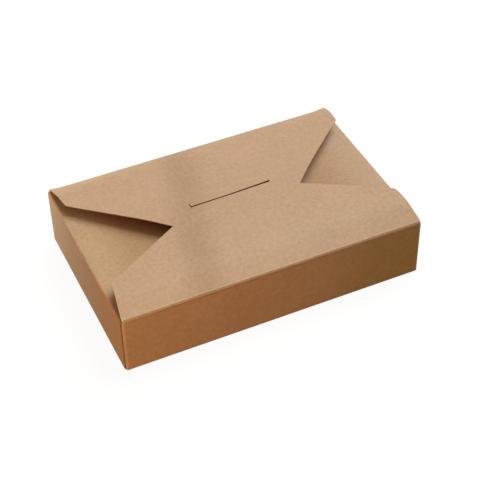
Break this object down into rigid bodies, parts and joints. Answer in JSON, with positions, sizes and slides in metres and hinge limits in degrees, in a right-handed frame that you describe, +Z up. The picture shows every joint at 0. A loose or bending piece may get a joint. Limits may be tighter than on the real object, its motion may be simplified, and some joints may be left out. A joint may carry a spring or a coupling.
{
  "type": "pastry box",
  "caption": "Shallow rectangular takeaway box folded from kraft board, with arched lid flaps; the front flap's tongue tucks into a slit in the back flap.",
  "frame": {"origin": "middle of the outside of the bottom panel, on the surface that the box stands on", "axes": "+X along the length, +Y from the front wall to the back wall, +Z up"},
  "size_m": [0.2, 0.131, 0.0524],
  "materials": {
    "kraft_board": "matte uncoated kraft, faint fibre mottle"
  },
  "bodies": {
    "box": {"folded_box": "kraft_board"},
    "lid_flap": {"front_flap": "kraft_board"}
  },
  "joints": [
    {"name": "lid_hinge", "type": "hinge", "parent": "box", "child": "lid_flap", "pos_m": [0, -0.065, 0.041], "axis": [1, 0, 0], "range_deg": [0, 175]}
  ]
}
